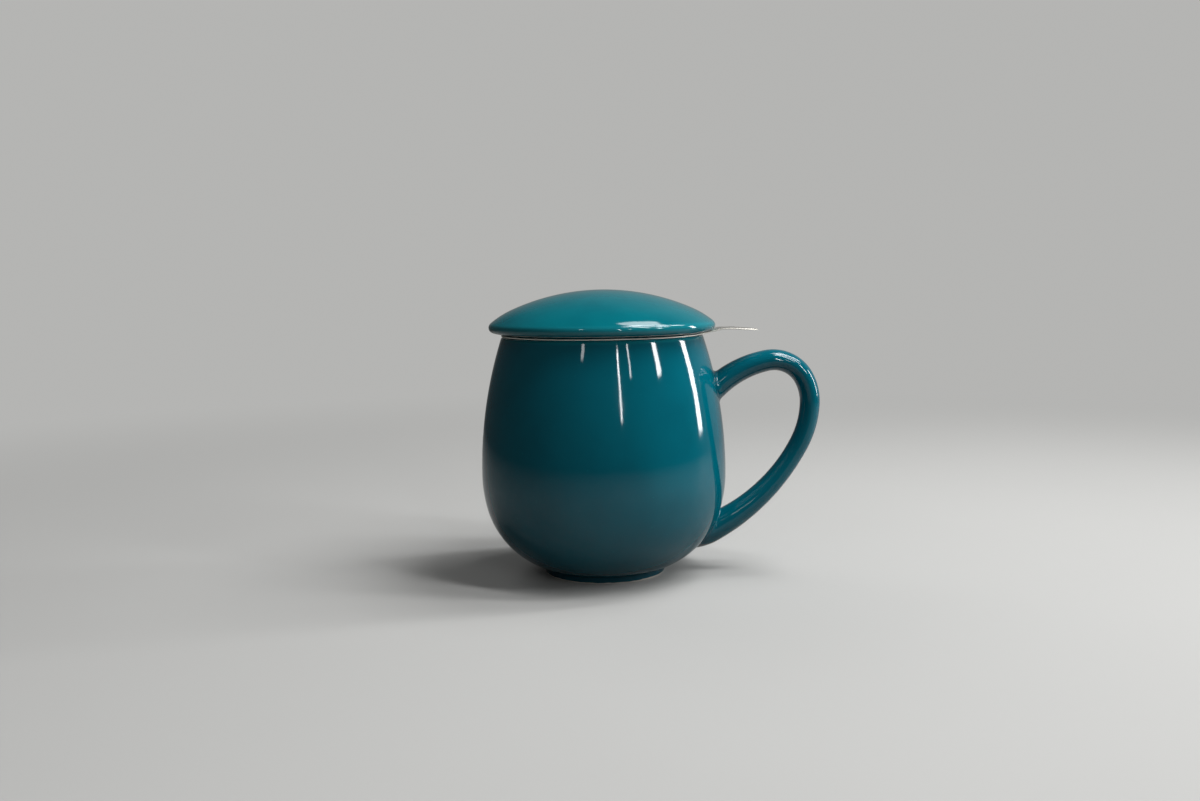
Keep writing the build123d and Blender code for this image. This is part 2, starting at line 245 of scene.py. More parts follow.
@labelled
class StudioSettings(bpy.types.PropertyGroup):
    """Camera, floor and lights."""

    camera_distance: length("From the mug's axis to the lens, measured level", 441.9)
    camera_height: length("Lens above the table", 113.5)
    camera_yaw: turn("Turn to the right of the Y axis", -0.14)
    camera_pitch: turn("Turn down from level", 6.20)
    camera_roll: turn("Roll about the view", -0.81)
    focal_pixels: number("Focal length in pixels", 1167.0)
    surround: colour("Pale floor and background", 0.46, 0.46, 0.45)
    ambient: share("Share of its brightness that the surround casts as light", 0.12)
    bounce: share("Share of its tone that the floor casts back as light", 0.18)
    window_side: turn("Where the room is brightest, turned right from the camera", 150.0)
    near_side: share("How bright gloss shows the room on the windows' side", 0.55)
    far_side: share("How bright gloss shows the room's other side", 0.10)
    floor_edge: length("Radius at which the floor has run into the background", 700.0)


# ---------------------------------------------------------------- lines and sections


def unit(vectors):
    """Vectors of length one."""
    return vectors / np.linalg.norm(vectors, axis=-1, keepdims=True)


def polar(radius, angle, *more):
    """Points at a radius and an angle: X and Y are the radius times the angle's cosine and sine. Further
    coordinates are taken as they are."""
    return np.stack(np.broadcast_arrays(radius * np.cos(angle), radius * np.sin(angle), *more), -1)


def arc(centre, radius, start, end, spacing=GRAIN):
    """Points on a circular arc: the centre plus the radius times the cosine and sine of evenly spaced
    angles."""
    rounding = 1e-6  # share of a step
    steps = max(3, ceil(abs(end - start) * radius / spacing - rounding))
    return np.array(centre) + polar(radius, np.linspace(start, end, steps + 1))


def join(*stretches):
    """One line from several stretches and single points, without repeated points."""
    line = np.concatenate([np.atleast_2d(np.array(stretch, float)) for stretch in stretches])
    fresh = np.hypot(*np.diff(line, axis=0).T) > WELD
    return line[np.concatenate([[True], fresh])]


def even(line, spacing=GRAIN):
    """The same line with evenly spaced points, found by its length along itself."""
    run = np.concatenate([[0], np.cumsum(np.hypot(*np.diff(line, axis=0).T))])
    stations = np.linspace(0, run[-1], max(2, round(run[-1] / spacing)) + 1)
    return np.stack([np.interp(stations, run, values) for values in line.T], -1)


def straight(start, end, spacing=GRAIN):
    """Evenly spaced points from one point to another."""
    return even(np.array([start, end]), spacing)


def left_of(line):
    """The direction to the left of a line, square to it, at each of its points."""
    ahead = unit(np.gradient(line, axis=0))
    return np.stack([-ahead[:, 1], ahead[:, 0]], -1)


def soften(line, width):
    """Rounds the corners of a section that starts and ends on the axis. Each point becomes the average of its
    neighbours, weighted by a bell curve of the given width, and past the axis the line is its own mirror
    image."""
    spacing = np.hypot(*(line[1] - line[0]))
    reach = ceil(3 * width / spacing)
    window = np.exp(-0.5 * (np.arange(-reach, reach + 1) * spacing / width) ** 2)
    window /= window.sum()
    mirror = np.array([-1, 1])
    padded = np.concatenate([line[reach:0:-1] * mirror, line, line[-2 : -reach - 2 : -1] * mirror])
    return np.stack([np.convolve(padded[:, axis], window, "valid") for axis in (0, 1)], -1)


def glaze_lie(section, full_radius=2.5 * MM):
    """How a glaze lies on a turned section: 0.5 where it is even, towards 1 where it draws thin over a convex
    edge and towards 0 where it runs together in a hollow. It is the section's turning per length,
    smoothed."""
    ahead = np.gradient(section, axis=0)
    heading = np.unwrap(np.arctan2(ahead[:, 1], ahead[:, 0]))
    bend = np.gradient(heading) / np.maximum(np.hypot(*ahead.T), WELD)
    window = np.hanning(9)
    bend = np.convolve(np.pad(bend, len(window) // 2, mode="edge"), window / window.sum(), "valid")
    return 0.5 + 0.5 * np.clip(bend * full_radius, -1, 1)


def sheet_section(line, thickness, closed=True):
    """The outline of a sheet bent along a line: the line set off to the left, the cut edge at its far end and
    the line set off to the right, back to the start, which a second cut edge closes unless the sheet goes on
    there."""
    left = left_of(line) * thickness / 2
    there = cut_end(line[-1], thickness / 2, atan2(left[-1][1], left[-1][0]))
    outline = np.concatenate([line + left, there[1:-1], (line - left)[::-1]])
    if closed:
        here = cut_end(line[0], thickness / 2, atan2(-left[0][1], -left[0][0]))
        outline = np.concatenate([outline, here[1:]])
    return outline


def cut_edge():
    """How far outwards and upwards a sheet's cut edge lies, as shares of half the thickness, from one face to
    the other. They are the square roots of a half circle's cosines and sines: a blunt edge with eased
    corners."""
    turn_over = np.linspace(pi / 2, -pi / 2, EDGE_STEPS + 1)
    return np.sqrt(np.abs(np.cos(turn_over))), np.sign(turn_over) * np.sqrt(np.abs(np.sin(turn_over)))


def cut_end(centre, half_thickness, start):
    """A sheet's cut edge in section, round a centre, that turns to the right from an angle."""
    outward, upward = cut_edge()
    ahead, left = np.array([sin(start), -cos(start)]), np.array([cos(start), sin(start)])
    return centre + half_thickness * (outward[:, None] * ahead + upward[:, None] * left)


def turned(section, angles):
    """A section turned about Z: X and Y are its radius times the cosine and sine of each angle. The height
    and any further columns of the section are carried along as they are."""
    radius, *carried = section.T[..., None]
    return polar(radius, angles, *carried)


FULL_TURN = np.linspace(0, 2 * pi, TURNS + 1)


# ---------------------------------------------------------------- pieces


def build_mesh(name, patches):
    """A mesh from grids of points, each (..., rows, columns, 3) or with a fourth column for the glaze. Every
    cell of a grid is a face, points in one place are made one point, and a cell that has shrunk at a pole
    loses its repeated corners."""
    points, faces, count = [], [], 0
    for patch in patches:
        index = count + np.arange(patch[..., 0].size).reshape(patch.shape[:-1])
        corners = [index[..., :-1, :-1], index[..., :-1, 1:], index[..., 1:, 1:], index[..., 1:, :-1]]
        faces.append(np.stack(corners, -1).reshape(-1, 4))
        points.append(patch.reshape(-1, patch.shape[-1]))
        count += index.size
    points, faces = np.concatenate(points), np.concatenate(faces)
    cells = np.round(points[:, :3] / WELD).astype(np.int64)
    _, first, twin = np.unique(cells, axis=0, return_index=True, return_inverse=True)
    points, faces = points[first], twin.reshape(-1)[faces]
    fresh = faces != np.roll(faces, 1, axis=1)
    whole = fresh.sum(1) >= 3
    faces, fresh = faces[whole], fresh[whole]
    starts = np.concatenate([[0], np.cumsum(fresh.sum(1))[:-1]])
    corners = faces[fresh]

    mesh = bpy.data.meshes.new(name)
    mesh.vertices.add(len(points))
    mesh.vertices.foreach_set("co", points[:, :3].astype(np.float32).ravel())
    mesh.loops.add(len(corners))
    mesh.loops.foreach_set("vertex_index", corners.astype(np.int32))
    mesh.polygons.add(len(starts))
    mesh.polygons.foreach_set("loop_start", starts.astype(np.int32))
    if points.shape[1] > 3:
        glaze = mesh.attributes.new("glaze", "FLOAT", "POINT")
        glaze.data.foreach_set("value", points[:, 3].astype(np.float32))
    mesh.update(calc_edges=True)
    return mesh


def add_piece(name, patches, material, body, node):
    """A piece of the object: its mesh with faces outwards, its finish, the body that it rides on and the
    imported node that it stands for. It stops if the surface isn't closed."""
    mesh = build_mesh(name, patches)
    work = bmesh.new()
    work.from_mesh(mesh)
    bmesh.ops.recalc_face_normals(work, faces=work.faces)
    gaps = sum(not edge.is_manifold for edge in work.edges)
    if gaps:
        raise RuntimeError(f"{name} has {gaps} open or shared edges")
    if work.calc_volume(signed=True) < 0:
        bmesh.ops.reverse_faces(work, faces=work.faces)
    work.to_mesh(mesh)
    work.free()
    mesh.shade_smooth()
    mesh.set_sharp_from_angle(angle=CREASE_ANGLE)
    mesh.materials.append(material)
    piece = bpy.data.objects.new(name, mesh)
    bpy.context.scene.collection.objects.link(piece)
    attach(piece, body)
    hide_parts(node)


class BowlShape:
    """The bowl's outer side as three tangent arcs, and what is worked out from it."""

    def __init__(self, sizes):
        belly = np.array((sizes.belly_radius, sizes.belly_height))
        rise, taper = sizes.rim_height - sizes.belly_height, sizes.belly_radius - sizes.rim_radius
        self.upper_radius = (rise**2 + taper**2) / (2 * taper)
        self.upper = belly - (self.upper_radius, 0)
        self.side_radius, self.side_turn = sizes.side_arc_radius, sizes.side_arc_turn
        self.side = belly - (self.side_radius, 0)
        inward = np.array((-cos(self.side_turn), sin(self.side_turn)))
        haunch = self.side - self.side_radius * inward
        fall = (sizes.foot_radius + sizes.foot_draft, sizes.foot_height) - haunch
        self.lower_radius = fall @ fall / (2 * fall @ inward)
        self.lower = haunch + self.lower_radius * inward

    def side_line(self, inset, lowest, highest):
        """The side set in by a distance, from a height on the lower arc up to one on the upper arc."""
        start = asin((lowest - self.lower[1]) / (self.lower_radius - inset))
        end = asin((highest - self.upper[1]) / (self.upper_radius - inset))
        return join(
            arc(self.lower, self.lower_radius - inset, start, -self.side_turn),
            arc(self.side, self.side_radius - inset, -self.side_turn, 0),
            arc(self.upper, self.upper_radius - inset, 0, end),
        )

    def clearance(self, points):
        """Distance of points outside the bowl's outer side and the direction straight out of it. In the
        turned plane it is the distance from the centre of the arc abreast of the point, less that arc's
        radius."""
        radius, height = np.hypot(points[..., 0], points[..., 1]), points[..., 2]
        climb = np.arctan2(height - self.side[1], radius - self.side[0])
        upper, lower = climb > 0, climb < -self.side_turn

        def pick(high, middle, low):
            return np.where(upper, high, np.where(lower, low, middle))

        across = radius - pick(self.upper[0], self.side[0], self.lower[0])
        up = height - pick(self.upper[1], self.side[1], self.lower[1])
        reach = np.hypot(across, up)
        outward = across / reach / radius
        direction = np.stack([points[..., 0] * outward, points[..., 1] * outward, up / reach], -1)
        return reach - pick(self.upper_radius, self.side_radius, self.lower_radius), direction

    def onto(self, points):
        """The nearest points on the bowl's outer side."""
        distance, direction = self.clearance(points)
        return points - distance[..., None] * direction

    def radius_at(self, height):
        """Radius of the outer side at a height, on whichever arc is abreast of it."""
        centre, radius = self.side, self.side_radius
        if height > self.side[1]:
            centre, radius = self.upper, self.upper_radius
        elif height < self.side[1] - self.side_radius * sin(self.side_turn):
            centre, radius = self.lower, self.lower_radius
        return centre[0] + sqrt(radius**2 - (height - centre[1]) ** 2)


def bowl_section(sizes):
    """The bowl's whole section: under the foot, up the outside, over the lip, down the inside to the axis.
    The hollow under the foot is domed a little, with a slope between it and the foot ring."""
    shape, lip, corner = BowlShape(sizes), sizes.lip_round, sizes.inside_corner_round
    top, inside_bottom = sizes.rim_height - lip, sizes.foot_recess + sizes.bottom_thickness
    outside = shape.side_line(0, sizes.foot_height, top)
    inside = shape.side_line(sizes.wall, inside_bottom + corner, top)[::-1]
    ring_inside = sizes.foot_radius - sizes.foot_ring_width
    dome, slope_width, slope_drop = 0.4 * MM, 1.6 * MM, 0.5 * MM
    return join(
        (0, sizes.foot_recess + dome),
        (ring_inside - slope_width, sizes.foot_recess),
        (ring_inside - sizes.foot_draft, sizes.foot_recess - slope_drop),
        (ring_inside, 0),
        (sizes.foot_radius, 0),
        outside,
        arc((outside[-1][0] - lip, top), lip, 0, pi / 2, GRAIN / 3),
        arc((inside[0][0] + lip, top), lip, pi / 2, pi, GRAIN / 3),
        inside,
        arc((inside[-1][0] - corner, inside_bottom + corner), corner, 0, -pi / 2),
        (0, inside_bottom),
    )


def glazed_turning(line, width):
    """The surface of a turned and glazed piece: its section with corners rounded to a width, turned about Z,
    and how the glaze lies on it as a fourth column."""
    section = soften(even(line), width)
    return turned(np.column_stack([section, glaze_lie(section)]), FULL_TURN)


# ---------------------------------------------------------------- finishes


def shader_node(tree, kind, inputs=None, **settings):
    """A shader node with its settings, and its inputs set or linked, whichever the value asks for."""
    node = tree.nodes.new(kind)
    for name, value in settings.items():
        setattr(node, name, value)
    for name, value in (inputs or {}).items():
        if isinstance(value, bpy.types.NodeSocket):
            tree.links.new(value, node.inputs[name])
        else:
            node.inputs[name].default_value = value
    return node


def new_material(name):
    """An empty node material, its tree and the place on the object."""
    material = bpy.data.materials.new(name)
    material.use_nodes = True
    tree = material.node_tree
    tree.nodes.clear()
    return material, tree, shader_node(tree, "ShaderNodeTexCoord").outputs["Object"]


def finish_material(material, layers, inputs):
    """Links a surface with its inputs to the output. Its relief adds up values, each times a height in
    metres."""
    tree = material.node_tree
    relief = reduce(partial(plus, tree), [times(tree, value, height) for value, height in layers])
    bump = shader_node(tree, "ShaderNodeBump", {"Height": relief, "Strength": 1.0, "Distance": 1.0})
    shader = shader_node(tree, "ShaderNodeBsdfPrincipled", {**inputs, "Normal": bump.outputs[0]})
    shader_node(tree, "ShaderNodeOutputMaterial", {"Surface": shader.outputs[0]})
    return material


def noise(tree, vector, scale, detail, roughness=0.5):
    """A noise value on a vector, with its scale in features per metre."""
    return shader_node(
        tree,
        "ShaderNodeTexNoise",
        {"Vector": vector, "Scale": scale, "Detail": detail, "Roughness": roughness},
    ).outputs["Fac"]


def span(tree, value, low, high, to_low=0.0, to_high=1.0):
    """A value carried smoothly from one range to another and kept inside it."""
    return shader_node(
        tree,
        "ShaderNodeMapRange",
        {"Value": value, "From Min": low, "From Max": high, "To Min": to_low, "To Max": to_high},
        interpolation_type="SMOOTHSTEP",
    ).outputs["Result"]


def blend(tree, factor, first, second):
    """A colour between two colours."""
    node = shader_node(tree, "ShaderNodeMix", {"Factor": factor}, data_type="RGBA")
    for socket, value in ((node.inputs[6], first), (node.inputs[7], second)):
        if isinstance(value, bpy.types.NodeSocket):
            tree.links.new(value, socket)
        else:
            socket.default_value = (*value, 1)
    return node.outputs[2]


def math_node(tree, operation, first, second=0.0):
    """One arithmetic step on two values."""
    node = shader_node(tree, "ShaderNodeMath", operation=operation)
    for socket, value in zip(node.inputs, (first, second)):
        if isinstance(value, bpy.types.NodeSocket):
            tree.links.new(value, socket)
        else:
            socket.default_value = value
    return node.outputs[0]


def plus(tree, first, second):
    """The sum of two values."""
    return math_node(tree, "ADD", first, second)


def minus(tree, first, second):
    """The first value less the second."""
    return math_node(tree, "SUBTRACT", first, second)


def times(tree, first, second):
    """The product of two values."""
    return math_node(tree, "MULTIPLY", first, second)


def axes(tree, vector):
    """The coordinates of a vector, by name."""
    return shader_node(tree, "ShaderNodeSeparateXYZ", {"Vector": vector}).outputs


def glaze_material(name, finishes, glaze, bare_below):
    """Glossy teal glaze over porcelain. It darkens where it pools and lightens where it breaks over an edge,
    its face is very slightly wavy, and below a height it stops in an uneven line and leaves the porcelain
    bare. Over the last 3 mm above that line it is darkened with painted shade."""
    material, tree, place = new_material(name)
    height = axes(tree, place)["Z"]
    lie = shader_node(tree, "ShaderNodeAttribute", attribute_name="glaze").outputs["Fac"]

    tone = glaze
    for sign, starts, ends, most, towards in (
        (noise(tree, place, 38, 3), 0.35, 0.75, 0.35, finishes.pooled),  # drifts
        (lie, 0.48, 0.1, 1.0, finishes.pooled),  # hollows
        (lie, 0.62, 1.0, 0.85, finishes.broken),  # edges
        (noise(tree, place, 900, 2), 0.66, 0.8, 0.3, finishes.broken),  # flecks
        # painted shade: darker over the last 3 mm above where the glaze stops
        (height, bare_below + 3 * MM, bare_below + 1.5 * MM, 1.0, finishes.pooled),  # above the bare foot
    ):
        tone = blend(tree, span(tree, sign, starts, ends, 0, most), tone, towards)

    wander = times(tree, minus(tree, noise(tree, place, 260, 2), 0.5), 0.5 * MM)
    above = minus(tree, plus(tree, height, wander), bare_below)
    softness = 0.05 * MM  # half the width over which the glaze ends
    bare = span(tree, above, softness, -softness)
    grit = noise(tree, place, 2600, 3, 0.65)
    clay = blend(tree, span(tree, grit, 0.35, 0.75, 0, 0.4), finishes.porcelain, finishes.grit)

    dull = finishes.glaze_roughness
    smear = span(tree, noise(tree, place, 60, 3), 0.3, 0.8, 0.75 * dull, 1.6 * dull)
    layers = (
        (noise(tree, place, 130, 1), 0.035 * MM),  # waves
        (noise(tree, place, 700, 1), 0.0018 * MM),  # skin
        (bare, -0.12 * MM),  # the step down where the glaze ends
        (times(tree, grit, bare), 0.03 * MM),  # grains
    )
    surface = {
        "Base Color": blend(tree, bare, tone, clay),
        "Roughness": plus(tree, smear, times(tree, bare, finishes.porcelain_roughness)),
        "IOR": GLAZE_IOR,
    }
    return finish_material(material, layers, surface)


def steel_material(name, finishes, collar_radius):
    """Stainless sheet, polished on a wheel: fine lines that run round the axis, a little unevenness in how
    dull it is, and faint waves where the sheet was pressed. Upright faces outside the collar are the flange's
    and the tab's cut edges, which are less polished and carry a paler, creamier colour as a painted sheen."""
    material, tree, place = new_material(name)
    parts = axes(tree, place)
    radius = math_node(tree, "SQRT", plus(tree, *(times(tree, parts[axis], parts[axis]) for axis in "XY")))
    lines = shader_node(tree, "ShaderNodeCombineXYZ", {"X": radius, "Y": parts["Z"]}).outputs[0]
    strokes, patches = noise(tree, lines, 5200, 3, 0.7), noise(tree, place, 120, 3)
    tone = blend(tree, span(tree, strokes, 0.3, 0.75, 0, 0.35), finishes.steel, finishes.steel_shade)
    dull = finishes.steel_roughness
    uneven = span(tree, patches, 0.3, 0.75, 0.7 * dull, 1.3 * dull)
    rough = plus(tree, uneven, span(tree, strokes, 0.3, 0.8, -0.05, 0.06))

    facing = shader_node(tree, "ShaderNodeNewGeometry").outputs["Normal"]
    upward = math_node(tree, "ABSOLUTE", axes(tree, facing)["Z"])
    outside = span(tree, radius, collar_radius + 0.6 * MM, collar_radius + 0.7 * MM)
    # painted sheen: the cut edges take a paler, creamier colour as well as more roughness
    cut = times(tree, span(tree, upward, 0.8, 0.5), outside)
    surface = {
        "Base Color": blend(tree, cut, tone, finishes.cut_steel_with_painted_sheen),
        "Metallic": 1.0,
        "Roughness": plus(tree, rough, times(tree, cut, finishes.cut_roughness - dull)),
    }
    return finish_material(material, ((strokes, 0.0016 * MM), (patches, 0.008 * MM)), surface)


# ---------------------------------------------------------------- handle


def bow_line(sizes, belly_radius, root_radius, foot_radius):
    """The bow's centre line as a chain of tangent arcs. Each arc leaves with the heading that the last one
    ended on and ends at the next point, so it turns by twice the angle between its heading and its chord."""
    points = [
        (root_radius, sizes.upper_root_height),
        (belly_radius + sizes.shoulder_reach, sizes.shoulder_height),
        (belly_radius + sizes.knuckle_reach, sizes.knuckle_height),
        (belly_radius + sizes.handle_reach, sizes.reach_height),
        (belly_radius + sizes.lower_bend_reach, sizes.lower_bend_height),
        (foot_radius, sizes.lower_root_height),
    ]
    heading, arcs = sizes.upper_root_slope, []
    for start, end in zip(points, points[1:]):
        chord = (end[0] - start[0], end[1] - start[1])
        lean = (atan2(chord[1], chord[0]) - heading + pi) % (2 * pi) - pi
        radius = hypot(*chord) / (2 * sin(lean))
        arcs.append((*start, heading, radius, radius * 2 * lean))
        heading += 2 * lean
    return np.array(arcs)


def along_bow(arcs, distance):
    """Place and heading on the bow's line at distances along it, carried on straight past both ends."""
    ends = np.cumsum(arcs[:, 4])
    inside = np.clip(distance, 0, ends[-1])
    which = np.minimum(np.searchsorted(ends, inside), len(arcs) - 1)
    x, z, heading, radius, run = np.moveaxis(arcs[which], -1, 0)
    turn_to = heading + (inside - ends[which] + run) / radius
    x = x + radius * (np.sin(turn_to) - np.sin(heading)) + (distance - inside) * np.cos(turn_to)
    z = z - radius * (np.cos(turn_to) - np.cos(heading)) + (distance - inside) * np.sin(turn_to)
    return x, z, turn_to


def bow_surface(sizes, arcs, distance, around):
    """Points on the bow: an oval about its line, with the depth in the bow's plane and the width across it
    both tapering by a power of the distance from the slimmest station."""
    length_of_bow = arcs[:, 4].sum()
    x, z, heading = along_bow(arcs, distance)
    before = np.clip(1 - distance / sizes.slim_station, 0, 1) ** sizes.upper_taper_power
    after = np.clip((distance - sizes.slim_station) / (length_of_bow - sizes.slim_station), 0, 1)
    after = after**sizes.lower_taper_power
    depth = sizes.slim_depth + (sizes.upper_root_depth - sizes.slim_depth) * before
    depth = (depth + (sizes.lower_root_depth - sizes.slim_depth) * after) / 2
    width = (sizes.slim_width + (sizes.root_width - sizes.slim_width) * np.maximum(before, after)) / 2
    lift = depth * np.sin(around)
    return np.stack([x - lift * np.sin(heading), width * np.cos(around), z + lift * np.cos(heading)], -1)


def handle_grid(sizes, bowl):
    """The handle as one grid, with rows along the bow and columns round it: the joint on the upper side of
    the bowl, the free bow and the joint low on the bowl. The glaze lies a little thin on the bow, and pools
    in the hollows of the joints by a bell curve of the row's number, counted from the nearer end."""
    roots = [bowl.radius_at(height) for height in (sizes.upper_root_height, sizes.lower_root_height)]
    arcs = bow_line(sizes, bowl.side[0] + bowl.side_radius, *roots)
    whole = arcs[:, 4].sum()
    around = np.linspace(0, 2 * pi, BOW_COLUMNS + 1)
    upper_free = by_side(sizes.upper_run, around)
    lower_free = whole - by_side(sizes.lower_run, around)
    upper = root_rows(sizes, arcs, bowl, around, 0.0, upper_free, sizes.upper_foot, 0.0)
    lower = root_rows(sizes, arcs, bowl, around, whole, lower_free, sizes.lower_foot, sizes.heel_angle)
    steps = np.linspace(0, 1, BOW_ROWS)[1:-1, None]
    body = bow_surface(sizes, arcs, upper_free + (lower_free - upper_free) * steps, around + 0 * steps)
    grid = np.concatenate([upper, body, lower[::-1]])
    rows = np.minimum(np.arange(len(grid)), np.arange(len(grid))[::-1])
    thin, pooling, hollow_row, hollow_rows = 0.56, 0.36, 8, 6
    lie = thin - pooling * np.exp(-(((rows - hollow_row) / hollow_rows) ** 2))
    return np.concatenate([grid, np.repeat(lie[:, None, None], len(around), 1)], -1)


def by_side(values, around):
    """A value round the bow from its values on the outer side, beside and on the inner side, weighted by the
    square of the sine."""
    outer, beside, inner = values
    rise = np.sin(around)
    return beside + (np.where(rise > 0, outer, inner) - beside) * rise**2


def root_rows(sizes, arcs, bowl, around, end, free, foot, angle):
    """Rows of one root, from a point inside the wall out to the free bow. The joint's outline on the bowl is
    an oval, longer to one side. From each of its points a cubic leaves along the bowl, or at an angle to it
    on the outer side, and arrives along the bow. Each of its two inner points stands part of the way to where
    the straight lines through its ends come nearest to each other. Inside the wall a cap closes the root."""
    x, z, heading = (value[0] for value in along_bow(arcs, np.array([end])))
    centre = np.array([x, 0, z])
    normal = np.array([-sin(heading), 0, cos(heading)])
    outward = bowl.clearance(centre)[1]
    up_side = unit(normal - (normal @ outward) * outward)
    rise = np.sin(around)[:, None]
    reach = np.where(rise > 0, foot[0], foot[2]) * rise
    landing = bowl.onto(centre + reach * up_side + foot[1] * np.cos(around)[:, None] * np.array([0, 1, 0]))
    out = bowl.clearance(landing)[1]

    start = bow_surface(sizes, arcs, free, around)
    nudge = 0.05 * MM
    arrive = unit(bow_surface(sizes, arcs, free + (nudge if end else -nudge), around) - start)
    inward = centre - landing
    inward = unit(inward - along(inward, out) * out)
    lift = angle * np.clip(rise, 0, 1) ** 2
    leave = inward * np.cos(lift) + out * np.sin(lift)

    gap, cross = landing - start, along(leave, arrive)
    first = (cross * along(arrive, gap) - along(leave, gap)) / (1 - cross**2)
    second = along(arrive, gap) + first * cross
    width = np.linalg.norm(gap, axis=-1, keepdims=True)
    part, shortest, longest = 0.6, 0.25 * width, 1.6 * width
    first, second = (part * np.clip(value, shortest, longest) for value in (first, second))
    step = np.linspace(0, 1, ROOT_ROWS + 1)[:, None, None]
    rows = (1 - step) ** 3 * landing + 3 * (1 - step) ** 2 * step * (landing + first * leave)
    rows = rows + 3 * (1 - step) * step**2 * (start + second * arrive) + step**3 * start
    sink, narrowing, cap_depth = 0.3 * MM, 0.15 * MM, 1.5 * MM
    sunk = landing - sink * out - narrowing * inward
    cap = np.repeat((centre - cap_depth * outward)[None], len(around), 0)
    return np.concatenate([cap[None], sunk[None], rows])


def along(first, second):
    """How far one set of vectors reaches along another."""
    return np.sum(first * second, -1, keepdims=True)


# ---------------------------------------------------------------- lid


def lid_section(sizes, seat):
    """The lid's section: from the axis out under the dome, down and up the locating ring, out over the seat,
    along the sloping underside, round the edge and back over the shoulder and the crown. The underside
    touches the edge's round, and the shoulder is the arc that leaves the crown and ends on that round, both
    smoothly."""
    dome_centre = sizes.crown_height - sizes.crown_arc_radius
    ring_inside = sizes.ring_radius - sizes.ring_wall
    inner_radius = sizes.crown_arc_radius - sizes.wall
    reach, corner_x = inner_radius - sizes.inside_round, ring_inside - sizes.inside_round
    corner = (corner_x, dome_centre + sqrt(reach**2 - corner_x**2))
    corner_angle = asin((corner[1] - dome_centre) / reach)

    crown_turn = asin((sizes.lid_radius - sizes.shoulder_width) / sizes.crown_arc_radius)
    crown = arc((0, dome_centre), sizes.crown_arc_radius, pi / 2 - crown_turn, pi / 2)
    edge_round = sizes.edge_round
    edge = np.array((sizes.lid_radius - edge_round, seat + sizes.tip_height))
    inward, offset = -np.array((sin(crown_turn), cos(crown_turn))), crown[0] - edge
    shoulder_radius = (edge_round**2 - offset @ offset) / (2 * (offset @ inward + edge_round))
    shoulder = crown[0] + shoulder_radius * inward
    edge_top = atan2(edge[1] - shoulder[1], edge[0] - shoulder[0])

    seat_edge = np.array((sizes.seat_radius, seat))
    across = edge - seat_edge
    edge_low = atan2(across[1], across[0]) - asin(edge_round / hypot(*across)) - pi / 2
    bevel = 0.7 * MM
    return join(
        arc((0, dome_centre), inner_radius, pi / 2, corner_angle),
        arc(corner, sizes.inside_round, corner_angle, 0),
        (ring_inside, sizes.ring_end_height + bevel),
        (ring_inside + bevel, sizes.ring_end_height),
        (sizes.ring_radius - bevel, sizes.ring_end_height),
        (sizes.ring_radius, sizes.ring_end_height + bevel),
        (sizes.ring_radius, seat),
        seat_edge,
        arc(edge, edge_round, edge_low, edge_top),
        arc(shoulder, shoulder_radius, edge_top, pi / 2 - crown_turn),
        crown,
    )


# ---------------------------------------------------------------- infuser


def tab_height(sizes, x):
    """Height of the tab's sheet above the flange at a distance from the axis. It is a chain of straight
    slopes, and over each bend the slope changes evenly, so the height there is a parabola."""
    fold = sqrt(sizes.flange_radius**2 - (sizes.tab_width / 2) ** 2)
    slope = sizes.tab_rise / sizes.tab_slope_length
    changes = (
        (fold, slope),
        (fold + sizes.tab_slope_length, -slope),
        (fold + sizes.tab_slope_length + sizes.tab_level_length, -tan(sizes.tab_droop)),
    )
    height, half = 0 * x, sizes.tab_bend
    for start, change in changes:
        past = np.clip(x - start, -half, None)
        height = height + change * np.where(past < half, (past + half) ** 2 / (4 * half), past)
    return height


